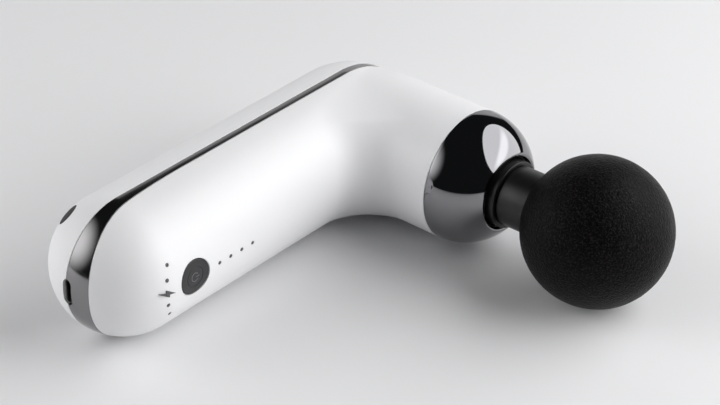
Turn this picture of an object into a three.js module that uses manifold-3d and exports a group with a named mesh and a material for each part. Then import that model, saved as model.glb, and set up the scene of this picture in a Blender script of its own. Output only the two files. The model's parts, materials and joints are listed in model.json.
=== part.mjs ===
// A small L-shaped massage gun, lying on its side on its handle and its massage ball.
//
// The gun's own frame, in millimetres: X runs along the barrel towards the ball, Y runs up the
// handle, Z comes out of the upper side as the gun lies, and the origin is where the two axes
// cross. The finished group is tipped about Y until handle and ball touch the same floor, and
// is then moved so that its box stands on Z = 0 with X = Y = 0 in the middle.
import * as THREE from "three";
import { mergeVertices } from "three/addons/utils/BufferGeometryUtils.js";
import Module from "manifold-3d";

const wasm = await Module();
wasm.setup();

// ---------------------------------------------------------------- driving dimensions
const GAP = 0.3; // between any two pieces that would touch
const SEGMENTS = 28; // facets round the casing
const FINE = 20; // facets round smaller turned pieces
const SMALL = 10; // facets round pins and screws
const FAR = 80; // longer than any cut

const HANDLE_R = 23.5;
const HANDLE_END_Y = -111; // centre of the round lower end
const DOME_Y = -6; // where the flatter upper end starts
const DOME_RISE = 28;
const BARREL_R = 22.75;
const BARREL_ROOT_R = 21.5; // where it grows out of the handle
const BARREL_FULL_X = 16; // from here on it has its full radius
const BARREL_END_X = 49.3;
const ELBOW_R = 31.5; // of the centre line round the inner corner
const WALL = 2;

const BAND_BACK_X = -1.35; // rear edge of the trim band
const BAND_FRONT_X = 1.55; // its front edge along the handle
const BAND_FLARE_Y = -80; // below this the front edge leans forward
const BAND_FLARE = 6.25;
const BAND_FLARE_POWER = 2.6;

const COLLAR_REACH = 22.2; // the dome's semi-axis along X
const COLLAR_MOUTH_R = 12.8;
const COLLAR_LIP_ANGLE = 52; // degrees along the dome where the lip begins
const STEM_R = 10.35;
const SHANK_R = 9.2;
const SOCKET_R = 9.5;
const PISTON_R = 11.6;
const SOCKET_FACE_X = 69.2;
const SOCKET_FLOOR_X = 45.5;
const BALL_R = 25;
const BALL_X = 102.7;

const CRANK_THROW = 3.5; // half of the 7 mm stroke
const WRIST_X = 26;
const CRANK_BEARING_R = 5;
const EYE_R = 6.95; // wide enough for the crank pin's bearing at every angle

const BUTTON_Y = -102.4;
const BUTTON_R = 6.15;
const BUTTON_FLANGE_R = 7.4;
const LIGHT_R = 0.65;
const SPEED_LIGHT_TOP_Y = -76.5;
const SPEED_LIGHT_PITCH = 5.03;
const BATTERY_LIGHT_Y = -114.1; // of the two lights beside the lightning sign
const BATTERY_OUTER_Y = -112.6; // of the two beyond them
const BATTERY_LIGHT_STEP = 11.4; // degrees round the handle
const LIGHT_HOLE_GROWTH = 1.3; // of the lightning sign's hole over the sign
const LIGHTS_FROM_X = 15; // cuts for lights and button start inside the shell...
const LIGHTS_TO_X = 30; // ...and end outside it
const LIGHT_SIDES = 8;
const GUIDE_BACK_X = 18.6;
const GUIDE_T = 2;
const speedSteps = [0, 1, 2, 3];
const batterySteps = [-2, -1, 1, 2];
const sides = [1, -1];

const CELL_R = 9.1;
const CELL_LENGTH = 65;
const CELL_TOP_Y = -47.5;
const CELL_X = -4.5;
const CELL_Z = 9.4;
const BOARD_X = 14;
const BOARD_T = 1.2;
const BOARD_TOP_Y = -58;
const BOARD_LENGTH = 61;

const PORT_X = -0.9;
const PORT_WIDTH = 8.8;
const PORT_HEIGHT = 3.2;
const PORT_FACE_Y = -133.3;
const PLUG_PLACE = [-14.8, -119.7, 16.1]; // on the round lower end, mirrored at -Z
const PORT_WALL = 0.4;
const PORT_DEPTH = 6.8;
const PORT_CUT_FROM_Y = -140;
const PORT_CUT_TO_Y = -125;
const PLUG_R = 3.9;
const PLUG_T = 1.1;

const BOSS_R = 3.2; // of the two case screws
const BOSS_END_X = 12.5;
const CASE_SCREW_R = 1;
const CASE_SCREW_HEAD_R = 2.1;
const CASE_SCREW_FROM_X = -9.7;
const CASE_SCREW_TO_X = 9;
const SCREW_HEAD_T = 1.7;
const BOARD_BOSS_R = 2.2;
const BOARD_BOSS_END_X = 20.8;
const BOARD_SCREW_Y = -62;
const BOARD_SCREW_Z = 8;
const BOARD_SCREW_R = 0.9;
const BOARD_SCREW_END_X = 18.6;

const TILT = Math.asin((BALL_R - HANDLE_R) / BALL_X);
const radians = THREE.MathUtils.degToRad;

// ---------------------------------------------------------------- materials
function finish(color, roughness, metalness) {
  return new THREE.MeshStandardMaterial({ color, roughness, metalness });
}
const finishes = {
  shell: finish(0xf2f1f3, 0.38, 0),
  gunmetal: finish(0x55555a, 0.16, 1),
  black_chrome: finish(0x1c1c20, 0.06, 1),
  black_plastic: finish(0x17171a, 0.42, 0),
  button: finish(0x444447, 0.5, 0),
  light_guide: finish(0x8a8a8e, 0.3, 0),
  foam: finish(0x0e0e10, 0.85, 0),
  rubber: finish(0x232325, 0.7, 0),
  steel: finish(0xb5b7ba, 0.28, 1),
  aluminium: finish(0xc4c6c9, 0.35, 1),
  magnet: finish(0x6d6f73, 0.35, 1),
  copper: finish(0xb8703c, 0.35, 1),
  nickel: finish(0xc9c7c0, 0.3, 1),
  cell_wrap: finish(0x2f6fa8, 0.4, 0),
  board: finish(0x1d5a37, 0.45, 0),
  brass: finish(0xb9974c, 0.3, 1),
  red_wire: finish(0xb02323, 0.45, 0),
  dark_wire: finish(0x202022, 0.45, 0),
};

// ---------------------------------------------------------------- solids and shapes
// A closed geometry as a solid that can be joined and cut.
function solid(geometry) {
  const bare = geometry.clone();
  bare.deleteAttribute("normal");
  bare.deleteAttribute("uv");
  const merged = mergeVertices(bare, 1e-4);
  const corners = merged.index.array;
  const faces = [];
  for (let i = 0; i < corners.length; i += 3) {
    const [a, b, c] = corners.slice(i, i + 3);
    if (a !== b && b !== c && c !== a) faces.push(a, b, c);
  }
  const build = (triangles) =>
    new wasm.Manifold(
      new wasm.Mesh({
        numProp: 3,
        vertProperties: merged.attributes.position.array,
        triVerts: new Uint32Array(triangles),
      }),
    );
  const made = build(faces);
  return made.volume() > 0 ? made : build(faces.reverse());
}

function geometryOf(made) {
  const mesh = made.getMesh();
  const geometry = new THREE.BufferGeometry();
  geometry.setAttribute("position", new THREE.BufferAttribute(mesh.vertProperties, 3));
  geometry.setIndex(new THREE.BufferAttribute(mesh.triVerts, 1));
  geometry.computeVertexNormals();
  return geometry;
}

// A solid of revolution about Y. The profile holds [radius, height] pairs, and is closed here
// unless it starts and ends on the axis.
function turned(profile, segments = SEGMENTS) {
  const points = profile.map(([radius, height]) => new THREE.Vector2(radius, height));
  const onAxis = profile[0][0] === 0 && profile.at(-1)[0] === 0;
  if (!onAxis) points.push(points[0].clone());
  return solid(new THREE.LatheGeometry(points, segments));
}

// The same about the barrel's axis, with [radius, distance along X] pairs.
function turnedAlongBarrel(profile, segments = SEGMENTS) {
  return turned(profile, segments).rotate([0, 0, -90]);
}

function ring(inner, outer, low, high, segments = FINE) {
  return turned([[inner, low], [outer, low], [outer, high], [inner, high]], segments);
}

function rod(radius, low, high, segments = SMALL) {
  return turned([[0, low], [radius, low], [radius, high], [0, high]], segments);
}

// A rod along X through (y, z), from one x to another.
function crossRod(radius, y, z, fromX, toX, segments = SMALL) {
  return rod(radius, fromX, toX, segments).rotate([0, 0, -90]).translate([0, y, z]);
}

function block([lowX, lowY, lowZ], [highX, highY, highZ]) {
  const box = new THREE.BoxGeometry(highX - lowX, highY - lowY, highZ - lowZ);
  box.translate((lowX + highX) / 2, (lowY + highY) / 2, (lowZ + highZ) / 2);
  return solid(box);
}

// A flat outline given a thickness: the outline is drawn in X and Y and grows along Z.
function plate(shape, low, high, curveSegments = 6) {
  const depth = high - low;
  const made = new THREE.ExtrudeGeometry(shape, { depth, bevelEnabled: false, curveSegments });
  made.translate(0, 0, low);
  return solid(made);
}

// The same with the outline in X and Z and the thickness along Y.
function levelPlate(shape, low, high, curveSegments = 6) {
  return plate(shape, -high, -low, curveSegments).rotate([90, 0, 0]);
}

function polygon(points) {
  return new THREE.Shape(points.map(([x, y]) => new THREE.Vector2(x, y)));
}

function circleHole(shape, x, y, radius) {
  shape.holes.push(new THREE.Path().absarc(x, y, radius, 0, 2 * Math.PI, true));
}

// Two round ends of their own radii joined by the straight lines that touch both.
function linkShape(startX, startY, startR, endX, endY, endR) {
  const along = Math.atan2(endY - startY, endX - startX);
  const spread = Math.acos((startR - endR) / Math.hypot(endX - startX, endY - startY));
  const shape = new THREE.Shape();
  shape.absarc(startX, startY, startR, along + spread, along - spread + 2 * Math.PI, false);
  shape.absarc(endX, endY, endR, along - spread, along + spread, false);
  return shape;
}

function joined(...solids) {
  return wasm.Manifold.union(solids);
}

function tubeAlong(points, radius, steps) {
  const route = new THREE.CatmullRomCurve3(points.map((point) => new THREE.Vector3(...point)));
  const section = new THREE.Shape().absarc(0, 0, radius, 0, 2 * Math.PI, false);
  return solid(new THREE.ExtrudeGeometry(section, { steps, extrudePath: route, curveSegments: 4 }));
}

// ---------------------------------------------------------------- casing
function arcProfile(centreY, radius, rise, fromDegrees, toDegrees, steps) {
  return Array.from({ length: steps + 1 }, (_, i) => {
    const angle = radians(fromDegrees + ((toDegrees - fromDegrees) * i) / steps);
    const across = i % steps === 0 ? Math.round(Math.cos(angle)) : Math.cos(angle);
    return [radius * across, centreY + rise * Math.sin(angle)];
  });
}

// The whole outer form, shrunk by an inset: handle, barrel and the rounded inner corner.
function bodyForm(inset, barrelEnd) {
  const handleR = HANDLE_R - inset;
  const barrelR = BARREL_R - inset;
  const handle = turned([
    ...arcProfile(HANDLE_END_Y, handleR, handleR, -90, 0, 6),
    ...arcProfile(DOME_Y, handleR, DOME_RISE - inset, 0, 90, 6),
  ]);
  const root = [0, 0.3, 0.6, 1].map((part) => {
    const swell = (BARREL_R - BARREL_ROOT_R) * Math.sin((part * Math.PI) / 2);
    return [BARREL_ROOT_R + swell - inset, part * BARREL_FULL_X];
  });
  const barrel = turnedAlongBarrel([[0, 0], ...root, [barrelR, barrelEnd], [0, barrelEnd]]);
  const wholeRing = new THREE.TorusGeometry(ELBOW_R, barrelR - 0.05, SEGMENTS, 32);
  const corner = solid(wholeRing)
    .translate([ELBOW_R, -ELBOW_R, 0])
    .intersect(block([-FAR, -ELBOW_R, -FAR], [ELBOW_R, FAR, FAR]));
  return joined(handle, barrel, corner);
}

// The front edge of the trim band, leaning forward towards the lower end.
function bandFrontX(y) {
  const tip = HANDLE_END_Y - HANDLE_R;
  const down = Math.max(0, (BAND_FLARE_Y - y) / (BAND_FLARE_Y - tip));
  return BAND_FRONT_X + BAND_FLARE * down ** BAND_FLARE_POWER;
}

// Everything in front of the band's front edge, or from it back to x, with half a gap kept.
function splitRegion(farX, offset) {
  const steps = 9;
  const low = HANDLE_END_Y - HANDLE_R - 1;
  const edge = Array.from({ length: steps + 1 }, (_, i) => {
    const y = BAND_FLARE_Y + ((low - BAND_FLARE_Y) * i) / steps;
    return [bandFrontX(y) + offset, y];
  });
  const outline = [[farX, FAR], [BAND_FRONT_X + offset, FAR], ...edge, [farX, low]];
  return plate(polygon(outline), -FAR, FAR);
}

const outerForm = bodyForm(0, BARREL_END_X - GAP / 2);
const cavityForm = bodyForm(WALL, BARREL_END_X + 2);
const wallForm = outerForm.subtract(cavityForm);
const bossForm = bodyForm(WALL / 2, BARREL_END_X); // bosses end inside the wall

function plugDirection(side) {
  const [x, y, z] = PLUG_PLACE;
  return new THREE.Vector3(x, y - HANDLE_END_Y, side * z).normalize();
}

// A rod square to the round lower end at a plug's place, between two depths from its centre.
function plugRod(side, radius, fromR, toR) {
  const turn = new THREE.Quaternion().setFromUnitVectors(
    new THREE.Vector3(0, 1, 0),
    plugDirection(side),
  );
  const place = new THREE.Matrix4().compose(
    new THREE.Vector3(0, HANDLE_END_Y, 0),
    turn,
    new THREE.Vector3(1, 1, 1),
  );
  return rod(radius, fromR, toR, 16).transform(place.elements);
}

function boltShape(grow) {
  const half = [[0.5, 2.5], [-1.85, -0.4], [-0.2, -0.4]];
  const outline = [...half, ...half.map(([x, y]) => [-x, -y])];
  return polygon(outline.map(([x, y]) => [x * grow, y * grow]));
}

// The lightning sign as a pin along X, with its length along the handle.
function boltPin(grow, fromX) {
  return plate(boltShape(grow), fromX, LIGHTS_TO_X)
    .rotate([0, 90, 0])
    .translate([0, BATTERY_LIGHT_Y - 0.4, 0]);
}

function batteryPin(step, radius, fromR) {
  const y = Math.abs(step) > 1 ? BATTERY_OUTER_Y : BATTERY_LIGHT_Y;
  const pin = crossRod(radius, y, 0, fromR, LIGHTS_TO_X, LIGHT_SIDES);
  return pin.rotate([0, step * BATTERY_LIGHT_STEP, 0]);
}

function speedLightY(index) {
  return SPEED_LIGHT_TOP_Y - index * SPEED_LIGHT_PITCH;
}

function speedPin(index, radius, fromX) {
  return crossRod(radius, speedLightY(index), 0, fromX, LIGHTS_TO_X, LIGHT_SIDES);
}

function lightHoles() {
  const grown = LIGHT_R + GAP;
  return joined(
    ...speedSteps.map((i) => speedPin(i, grown, LIGHTS_FROM_X)),
    ...batterySteps.map((step) => batteryPin(step, grown, LIGHTS_FROM_X)),
    boltPin(LIGHT_HOLE_GROWTH, LIGHTS_FROM_X),
  );
}

function frontShell() {
  const [, bossY, bossZ] = PLUG_PLACE;
  const bossStart = bandFrontX(bossY - BOSS_R) + GAP;
  let shell = wallForm.intersect(splitRegion(FAR, GAP / 2));
  for (const side of sides) {
    const screwZ = side * BOARD_SCREW_Z;
    const boardFace = BOARD_X + BOARD_T + GAP;
    const boss = crossRod(BOSS_R, bossY, side * bossZ, bossStart, BOSS_END_X);
    const boardBoss = crossRod(BOARD_BOSS_R, BOARD_SCREW_Y, screwZ, boardFace, BOARD_BOSS_END_X);
    const caseHole = crossRod(CASE_SCREW_R + GAP, bossY, side * bossZ, 0, CASE_SCREW_TO_X + 0.5);
    const boardHole = crossRod(
      BOARD_SCREW_R + GAP,
      BOARD_SCREW_Y,
      screwZ,
      boardFace - 1,
      BOARD_SCREW_END_X + 0.4,
    );
    shell = joined(shell, joined(boss, boardBoss).intersect(bossForm))
      .subtract(caseHole)
      .subtract(boardHole);
  }
  const buttonHole = crossRod(BUTTON_R + GAP, BUTTON_Y, 0, LIGHTS_FROM_X, LIGHTS_TO_X, FINE);
  return shell.subtract(buttonHole).subtract(lightHoles());
}

function portCutter(grow, fromY, toY) {
  const reach = (PORT_WIDTH - PORT_HEIGHT) / 2;
  const round = PORT_HEIGHT / 2 + grow;
  const shape = linkShape(PORT_X, -reach, round, PORT_X, reach, round);
  return levelPlate(shape, fromY, toY, 4);
}

function rearCover() {
  const [, bossY, bossZ] = PLUG_PLACE;
  const behindBand = block([-FAR, -2 * FAR, -FAR], [BAND_BACK_X - GAP / 2, FAR, FAR]);
  const headSeat = CASE_SCREW_FROM_X + SCREW_HEAD_T + GAP;
  let cover = wallForm.intersect(behindBand);
  for (const side of sides) {
    const z = side * bossZ;
    const boss = crossRod(BOSS_R, bossY, z, -15, BAND_BACK_X - GAP / 2);
    cover = joined(cover, boss.intersect(bossForm))
      .subtract(crossRod(CASE_SCREW_R + GAP, bossY, z, -20, 5))
      .subtract(crossRod(CASE_SCREW_HEAD_R + 0.4, bossY, z, -20, headSeat))
      .subtract(plugRod(side, PLUG_R + GAP, HANDLE_R - PLUG_T - GAP, HANDLE_R + 3));
  }
  return cover.subtract(portCutter(GAP, PORT_CUT_FROM_Y, PORT_CUT_TO_Y));
}

function trimBand() {
  const band = wallForm
    .intersect(splitRegion(-FAR, -GAP / 2))
    .intersect(block([BAND_BACK_X + GAP / 2, -2 * FAR, -FAR], [FAR, FAR, FAR]));
  return band.subtract(portCutter(GAP, PORT_CUT_FROM_Y, PORT_CUT_TO_Y));
}

function screwPlug(side) {
  return outerForm.intersect(plugRod(side, PLUG_R, HANDLE_R - PLUG_T, HANDLE_R + 3));
}

function powerButton() {
  const cap = crossRod(BUTTON_R, BUTTON_Y, 0, GUIDE_BACK_X, LIGHTS_TO_X, FINE);
  const flange = crossRod(BUTTON_FLANGE_R, BUTTON_Y, 0, GUIDE_BACK_X, GUIDE_BACK_X + 0.9, FINE);
  return joined(outerForm.intersect(cap), flange);
}

function speedLightGuide() {
  const front = GUIDE_BACK_X + GUIDE_T;
  const low = speedLightY(speedSteps.at(-1)) - 1.6;
  const bar = block([GUIDE_BACK_X, low, -1.5], [front, SPEED_LIGHT_TOP_Y + 1.6, 1.5]);
  const pins = speedSteps.map((i) => speedPin(i, LIGHT_R, front - 0.6));
  return outerForm.intersect(joined(bar, ...pins));
}

function batteryLightGuide() {
  const reach = radians(2.4 * BATTERY_LIGHT_STEP);
  const shape = new THREE.Shape();
  const outerR = GUIDE_BACK_X - 0.4 + GUIDE_T;
  shape.absarc(0, 0, outerR, -reach, reach, false);
  shape.absarc(0, 0, outerR - GUIDE_T, reach, -reach, true);
  const bar = levelPlate(shape, BATTERY_LIGHT_Y - 1.2, BATTERY_OUTER_Y + 0.8, 6);
  const pins = batterySteps.map((step) => batteryPin(step, LIGHT_R, outerR - 1.2));
  return outerForm.intersect(joined(bar, boltPin(1, outerR - 1.2), ...pins));
}

// ---------------------------------------------------------------- barrel
function domeProfile(inset, lipAngle, steps) {
  return Array.from({ length: steps + 1 }, (_, i) => {
    const angle = radians((lipAngle * i) / steps);
    const along = BARREL_END_X + (COLLAR_REACH - inset) * Math.sin(angle);
    return [(BARREL_R - inset) * Math.cos(angle), Math.max(along, BARREL_END_X + GAP / 2)];
  });
}

function noseCollar() {
  const dome = domeProfile(0, COLLAR_LIP_ANGLE, 6);
  const [lipR, lipX] = dome.at(-1);
  const inside = domeProfile(WALL, COLLAR_LIP_ANGLE - 3, 4).reverse();
  const sleeveR = BARREL_R - WALL - GAP - 0.05;
  const profile = [
    [sleeveR, 44],
    [sleeveR, BARREL_END_X + GAP / 2],
    ...dome,
    [lipR - 0.55, lipX + 0.25],
    [lipR - 1.05, lipX + 0.1],
    [COLLAR_MOUTH_R, lipX - 0.45],
    [COLLAR_MOUTH_R, 61],
    ...inside,
    [sleeveR - 1.8, BARREL_END_X],
    [sleeveR - 1.8, 44],
  ];
  return turnedAlongBarrel(profile, SEGMENTS);
}

function neckSeal() {
  return ring(PISTON_R + GAP, COLLAR_MOUTH_R - GAP, 61, 65.6, SEGMENTS).rotate([0, 0, -90]);
}

function guideSleeve() {
  return ring(PISTON_R + GAP, 14, 36, 60).rotate([0, 0, -90]);
}

function driveBracket() {
  const can = turned(
    [[8, -41], [20, -41], [20, -14], [18, -14], [18, -38.3], [8, -38.3]],
    FINE,
  );
  const tube = turnedAlongBarrel(
    [[14.4, 32], [19.5, 32], [19.5, 35], [17.3, 35], [17.3, 56], [14.4, 56]],
    FINE,
  );
  const arm = block([0, -8, 15.5], [33, 4, 18.5]);
  const post = block([-6, -16, 17.6], [6, 0, 19.6]);
  const supports = [arm, post, arm.mirror([0, 0, 1]), post.mirror([0, 0, 1])];
  const holes = screwPlaces().map(([x, z]) => rod(1.3, -45, -30, 8).translate([x, 0, z]));
  return joined(can, tube, ...supports).subtract(joined(...holes));
}

function piston() {
  const cylinder = turnedAlongBarrel(
    [
      [0, 33],
      [PISTON_R, 33],
      [PISTON_R, SOCKET_FACE_X - 0.4],
      [PISTON_R - 0.4, SOCKET_FACE_X],
      [SOCKET_R + 0.4, SOCKET_FACE_X],
      [SOCKET_R, SOCKET_FACE_X - 0.4],
      [SOCKET_R, 54.4],
      [SOCKET_R + 1.1, 54.4],
      [SOCKET_R + 1.1, 52],
      [SOCKET_R, 52],
      [SOCKET_R, SOCKET_FLOOR_X],
      [7, SOCKET_FLOOR_X],
      [7, 37],
      [0, 37],
    ],
    FINE,
  );
  const ears = sides.map((side) => {
    const ear = linkShape(34, 0, 5.21, WRIST_X, 0, 5.2);
    circleHole(ear, WRIST_X, 0, 2 + GAP);
    const [low, high] = side > 0 ? [3.4, 6.6] : [-6.6, -3.4];
    return levelPlate(ear, low, high).intersect(block([0, -FAR, -FAR], [34, FAR, FAR]));
  });
  return joined(cylinder, ...ears);
}

function connectingRod() {
  const shape = linkShape(0, CRANK_THROW / 2, EYE_R + 2.8, WRIST_X, 0, 5);
  circleHole(shape, 0, CRANK_THROW / 2, EYE_R);
  circleHole(shape, WRIST_X, 0, 2 + GAP);
  return levelPlate(shape, -3, 3, 12);
}

// ---------------------------------------------------------------- massage head
function headStem() {
  return turned(
    [
      [0, SOCKET_FLOOR_X + GAP],
      [SHANK_R - 0.7, SOCKET_FLOOR_X + GAP],
      [SHANK_R, SOCKET_FLOOR_X + GAP + 0.8],
      [SHANK_R, SOCKET_FACE_X + GAP],
      [STEM_R, SOCKET_FACE_X + GAP],
      [STEM_R, 90],
      [0, 90],
    ],
    FINE,
  );
}

function massageBall() {
  const bore = STEM_R + GAP;
  const start = 180 - THREE.MathUtils.radToDeg(Math.asin(bore / BALL_R));
  const steps = 11;
  const surface = Array.from({ length: steps }, (_, i) => {
    const angle = radians(start - (start * i) / steps);
    return [BALL_R * Math.sin(angle), BALL_X + BALL_R * Math.cos(angle)];
  });
  const equator = [BALL_R, BALL_X];
  const nearest = surface.reduce((best, point) => (point[0] > best[0] ? point : best));
  surface[surface.indexOf(nearest)] = equator;
  return turned([[0, 90.3], [bore, 90.3], ...surface, [0, BALL_X + BALL_R]], FINE);
}

// ---------------------------------------------------------------- motor and crank
function screwPlaces() {
  return [45, 135, 225, 315].map((degrees) => {
    const angle = radians(degrees);
    return [12 * Math.cos(angle), 12 * Math.sin(angle)];
  });
}

function motorBase() {
  const body = turned([[2.8, -38], [17.4, -38], [17.4, -36], [4.6, -36], [4.6, -17], [2.8, -17]], FINE);
  const holes = screwPlaces().map(([x, z]) => rod(1.3, -45, -30, 8).translate([x, 0, z]));
  return body.subtract(joined(...holes));
}

function statorCore() {
  const teeth = 9;
  const pitch = (2 * Math.PI) / teeth;
  const outline = [];
  for (let i = 0; i < teeth; i += 1) {
    const corners = [[7.6, -0.16], [11.8, -0.1], [12, -0.27], [13.4, -0.26]];
    const half = corners.map(([radius, angle]) => [radius, i * pitch + angle]);
    const other = corners.map(([radius, angle]) => [radius, i * pitch - angle]).reverse();
    for (const [radius, angle] of [...half, ...other]) {
      outline.push([radius * Math.cos(angle), radius * Math.sin(angle)]);
    }
  }
  const shape = polygon(outline);
  circleHole(shape, 0, 0, 4.9);
  return levelPlate(shape, -31, -21);
}

function rotorBell() {
  return turned(
    [[2.8, -14], [2.8, -12], [16, -12], [17, -13], [17, -34], [15.2, -34], [15.2, -14]],
    FINE,
  );
}

function eccentric() {
  const shape = new THREE.Shape();
  shape.absarc(0, 0, 8, radians(-20), radians(200), false);
  shape.absarc(0, 0, 14, radians(205), radians(335), false);
  const disc = levelPlate(shape, -11.5, -5, 8);
  return disc
    .subtract(rod(2.8, -12, -8.3))
    .subtract(rod(2 + GAP, -7.5, -4).translate([0, 0, CRANK_THROW]));
}

function motorScrew() {
  return turned([[0, -43], [2, -43], [2, -41.3], [1, -41.3], [1, -36.3], [0, -36.3]], 8);
}

// ---------------------------------------------------------------- cells and boards
function cellPairShape(radius) {
  return linkShape(CELL_X, -CELL_Z, radius, CELL_X, CELL_Z, radius - 0.001);
}

function cellHolder() {
  const low = CELL_TOP_Y - CELL_LENGTH;
  const capOffset = 3 * GAP + 0.2;
  const top = levelPlate(cellPairShape(8.9), CELL_TOP_Y + capOffset, CELL_TOP_Y + capOffset + 2);
  const bottom = levelPlate(cellPairShape(8.9), low - capOffset - 2, low - capOffset);
  const rails = [-1, 1].map((side) => {
    const x = CELL_X + side * 7.2;
    return block([x - 1.2, low - capOffset - 1, -2.2], [x + 1.2, CELL_TOP_Y + capOffset + 1, 2.2]);
  });
  return joined(top, bottom, ...rails);
}

function batteryCell() {
  const half = CELL_LENGTH / 2;
  const edge = 0.6;
  const top = [[CELL_R, half - edge], [CELL_R - edge, half], [0, half]];
  const bottom = top.map(([radius, y]) => [radius, -y]).reverse();
  return turned([...bottom, ...top], FINE);
}

// A strip across both cells' ends with a tab for its lead.
function nickelStrip(tabSide) {
  const bar = block([CELL_X - 3.5, 0, -CELL_Z - 3], [CELL_X + 3.5, 0.3, CELL_Z + 3]);
  const middle = block([CELL_X + 3, 0, tabSide * CELL_Z - 1.5], [6, 0.3, tabSide * CELL_Z + 1.5]);
  const rails = [-1, 1].map((side) => {
    const x = CELL_X + side * 7.2;
    return block([x - 1.5, -1, -2.5], [x + 1.5, 1, 2.5]);
  });
  return joined(bar, middle).subtract(joined(...rails));
}

function mainBoard() {
  const low = BOARD_TOP_Y - BOARD_LENGTH;
  let board = block([BOARD_X, low, -11], [BOARD_X + BOARD_T, BOARD_TOP_Y, 11]);
  for (const side of sides) {
    board = board.subtract(crossRod(1.3, BOARD_SCREW_Y, side * BOARD_SCREW_Z, 10, 20, 8));
  }
  return board;
}

// A screw along X, its head at the lower end.
function screwShape(headR, shankR, fromX, toX) {
  const under = fromX + SCREW_HEAD_T;
  const profile = [[0, fromX], [headR, fromX], [headR, under], [shankR, under], [shankR, toX], [0, toX]];
  return turnedAlongBarrel(profile, 8);
}

function boardScrew(side) {
  const head = BOARD_X - GAP - SCREW_HEAD_T;
  const made = screwShape(1.9, BOARD_SCREW_R, head, BOARD_SCREW_END_X);
  return made.translate([0, BOARD_SCREW_Y, side * BOARD_SCREW_Z]);
}

function caseScrew(side) {
  const [, y, z] = PLUG_PLACE;
  const made = screwShape(CASE_SCREW_HEAD_R, CASE_SCREW_R, CASE_SCREW_FROM_X, CASE_SCREW_TO_X);
  return made.translate([0, y, side * z]);
}

function tactSwitch() {
  const low = BOARD_X + BOARD_T + GAP;
  const body = block([low, BUTTON_Y - 3, -3], [17.2, BUTTON_Y + 3, 3]);
  return body.subtract(crossRod(2, BUTTON_Y, 0, 16.4, 20));
}

function usbShell() {
  const outside = portCutter(0, PORT_FACE_Y, PORT_FACE_Y + PORT_DEPTH);
  return outside.subtract(portCutter(-PORT_WALL, PORT_FACE_Y - 1, PORT_FACE_Y + PORT_DEPTH + 1));
}

function usbInsert() {
  const back = PORT_FACE_Y + PORT_DEPTH;
  const plug = portCutter(-PORT_WALL - GAP, back - 1.6, back);
  const tongue = block([PORT_X - 0.35, PORT_FACE_Y + 1, -3.2], [PORT_X + 0.35, back - 1, 3.2]);
  return joined(plug, tongue);
}

function usbBoard() {
  const high = PORT_X - PORT_HEIGHT / 2 - GAP;
  return block([high - 1, -127, -6.5], [high, -118.4, 6.5]);
}

const motorLeadRoute = [
  [4.6, -38.8],
  [5.1, -41.6],
  [8.4, -43.4],
  [11.8, -46.4],
  [12.9, -52],
  [12.9, -60.5],
];

function batteryLeadRoute(side) {
  const end = side > 0 ? CELL_TOP_Y - 1.4 : CELL_TOP_Y - CELL_LENGTH + 1.4;
  const away = -side;
  return [
    [6.2, end, side * CELL_Z],
    [8.6, end + away * 3.4, side * 8.8],
    [12, end + away * 8, side * 6],
    [13, end + away * 14, side * 4.6],
  ];
}

// ---------------------------------------------------------------- assembly
const gun = new THREE.Group();

function add(name, made, material, parent = gun) {
  const mesh = new THREE.Mesh(geometryOf(made), finishes[material]);
  mesh.name = name;
  parent.add(mesh);
  return mesh;
}

add("front_shell", frontShell(), "shell");
add("rear_cover", rearCover(), "shell");
add("trim_band", trimBand(), "gunmetal");
add("nose_collar", noseCollar(), "black_chrome");
add("neck_seal", neckSeal(), "rubber");
add("power_button", powerButton(), "button");
add("speed_light_guide", speedLightGuide(), "light_guide");
add("battery_light_guide", batteryLightGuide(), "light_guide");
for (const [place, side] of [["upper", 1], ["lower", -1]]) {
  add(`screw_plug_${place}`, screwPlug(side), "rubber");
  add(`case_screw_${place}`, caseScrew(side), "steel");
}

add("drive_bracket", driveBracket(), "aluminium");
add("guide_sleeve", guideSleeve(), "brass");
add("front_damper", ring(17.6, 20.35, 35.5, 42.5, SEGMENTS).rotate([0, 0, -90]), "rubber");
add("motor_damper", ring(20.3, 21.1, -36, -28, SEGMENTS), "rubber");
add("piston", piston(), "black_plastic");
add("wrist_pin", rod(2, -6.5, 6.5), "steel").position.x = WRIST_X;
add("connecting_rod", connectingRod(), "aluminium");

// The head stands along its own Y and is laid along the barrel.
const head = new THREE.Group();
head.rotation.z = -Math.PI / 2;
gun.add(head);
add("head_stem", headStem(), "black_plastic", head);
add("massage_ball", massageBall(), "foam", head);
add("socket_grip_ring", ring(SOCKET_R, SOCKET_R + 0.8, 52.3, 54.1), "rubber", head);

add("motor_base", motorBase(), "aluminium");
add("stator_core", statorCore(), "steel");
add("winding_upper", ring(7.9, 11.6, -20.7, -18.4), "copper");
add("winding_lower", ring(7.9, 11.6, -33.6, -31.3), "copper");
add("rotor_bell", rotorBell(), "steel");
add("magnet_ring", ring(13.9, 14.9, -33, -19), "magnet");
add("motor_shaft", rod(2.5, -39.5, -8.6), "steel");
add("eccentric", eccentric(), "steel");
add("crank_pin", rod(2, -7.2, 4.5), "steel").position.z = CRANK_THROW;
add("crank_bearing", ring(2 + GAP, CRANK_BEARING_R, -3, 3), "steel").position.z = CRANK_THROW;
screwPlaces().forEach(([x, z], i) => {
  add(`motor_screw_${i + 1}`, motorScrew(), "steel").position.set(x, 0, z);
});

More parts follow.
